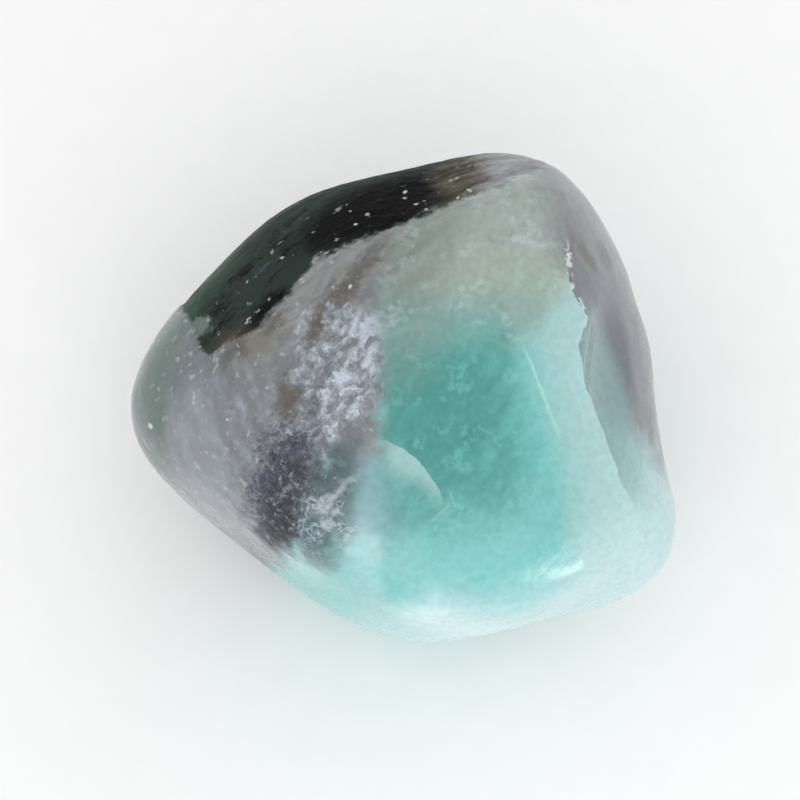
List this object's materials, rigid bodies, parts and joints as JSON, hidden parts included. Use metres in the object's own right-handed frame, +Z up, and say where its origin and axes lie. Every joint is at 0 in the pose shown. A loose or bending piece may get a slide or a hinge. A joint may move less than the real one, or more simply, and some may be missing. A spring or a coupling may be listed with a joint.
{
  "type": "tumbled amazonite stone",
  "caption": "Tumble-polished pebble of blue-green amazonite with frosted quartz and dark mica, a rounded block lying on its own small flat spot.",
  "frame": {"origin": "middle of the small flat spot on the underside that the stone rests on", "axes": "+Z up from the resting spot, +X along the stone's longest extent, towards its steep right wall, +Y towards the back, so the bevelled front faces -Y"},
  "size_m": [0.0302, 0.0265, 0.0224],
  "materials": {
    "amazonite": "tumble-polished, satin to glossy, slightly translucent"
  },
  "bodies": {
    "root": {"stone": "amazonite"}
  },
  "joints": []
}
